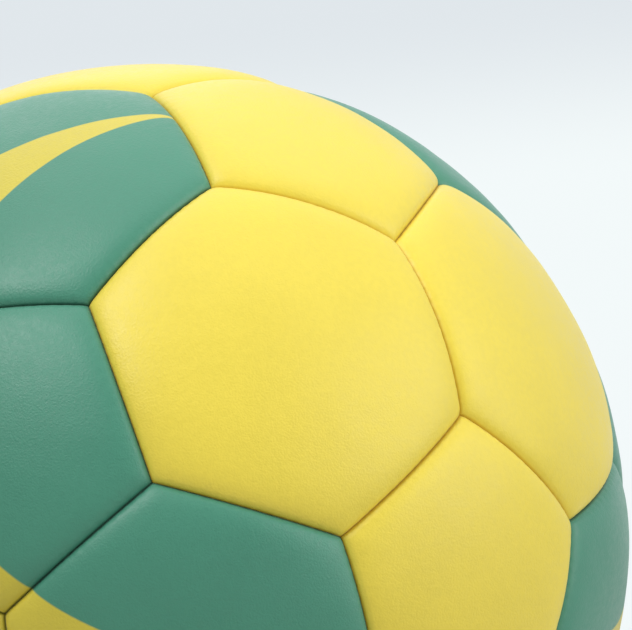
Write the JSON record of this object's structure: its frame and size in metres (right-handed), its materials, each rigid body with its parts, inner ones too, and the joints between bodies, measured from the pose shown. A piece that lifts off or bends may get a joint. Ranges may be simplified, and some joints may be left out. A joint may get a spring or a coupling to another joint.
{
  "type": "handball",
  "caption": "Stitched handball with pentagon and hexagon panels in yellow and green over foam, cloth lining and an air bladder with a pull-out valve plug.",
  "frame": {"origin": "middle of the ball", "axes": "+Z out through the valve in the middle of the top hexagon; -Y is the front, where the seam between the two front hexagons lies on the plane X = 0"},
  "size_m": [0.175, 0.175, 0.175],
  "materials": {
    "yellow_cover": "soft matt grain",
    "green_cover": "soft matt grain",
    "foam": "closed-cell foam",
    "lining_cloth": "woven cloth",
    "thread": "waxed thread",
    "bladder_rubber": "moulded",
    "patch_rubber": "moulded",
    "valve_rubber": "moulded",
    "plug_rubber": "moulded"
  },
  "bodies": {
    "ball": {"balance_patch": "patch_rubber", "bladder": "bladder_rubber", "hexagon_bottom": "yellow_cover", "hexagon_cloth_linings": "lining_cloth", "hexagon_foam_pads": "foam", "hexagon_lower_1": "yellow_cover", "hexagon_lower_2": "green_cover", "hexagon_lower_3": "green_cover", "hexagon_mid_lower_1": "green_cover", "hexagon_mid_lower_2": "green_cover", "hexagon_mid_lower_3": "yellow_cover", "hexagon_mid_lower_4": "yellow_cover", "hexagon_mid_lower_5": "green_cover", "hexagon_mid_lower_6": "green_cover", "hexagon_mid_upper_1": "yellow_cover", "hexagon_mid_upper_2": "green_cover", "hexagon_mid_upper_3": "green_cover", "hexagon_mid_upper_4": "green_cover", "hexagon_mid_upper_5": "green_cover", "hexagon_mid_upper_6": "yellow_cover", "hexagon_seam_threads": "thread", "hexagon_top": "yellow_cover", "hexagon_upper_1": "green_cover", "hexagon_upper_2": "yellow_cover", "hexagon_upper_3": "green_cover", "pentagon_cloth_linings": "lining_cloth", "pentagon_foam_pads": "foam", "pentagon_lower_1": "green_cover", "pentagon_lower_2": "yellow_cover", "pentagon_lower_3": "green_cover", "pentagon_mid_lower_1": "yellow_cover", "pentagon_mid_lower_2": "green_cover", "pentagon_mid_lower_3": "green_cover", "pentagon_mid_upper_1": "green_cover", "pentagon_mid_upper_2": "yellow_cover", "pentagon_mid_upper_3": "green_cover", "pentagon_seam_threads": "thread", "pentagon_upper_1": "yellow_cover", "pentagon_upper_2": "green_cover", "pentagon_upper_3": "green_cover", "valve_body": "valve_rubber", "valve_patch": "patch_rubber"},
    "plug": {"valve_plug": "plug_rubber"}
  },
  "joints": [
    {"name": "plug_pull", "type": "slide", "parent": "ball", "child": "plug", "axis": [0, 0, 1], "range_m": [0, 0.0125]}
  ]
}
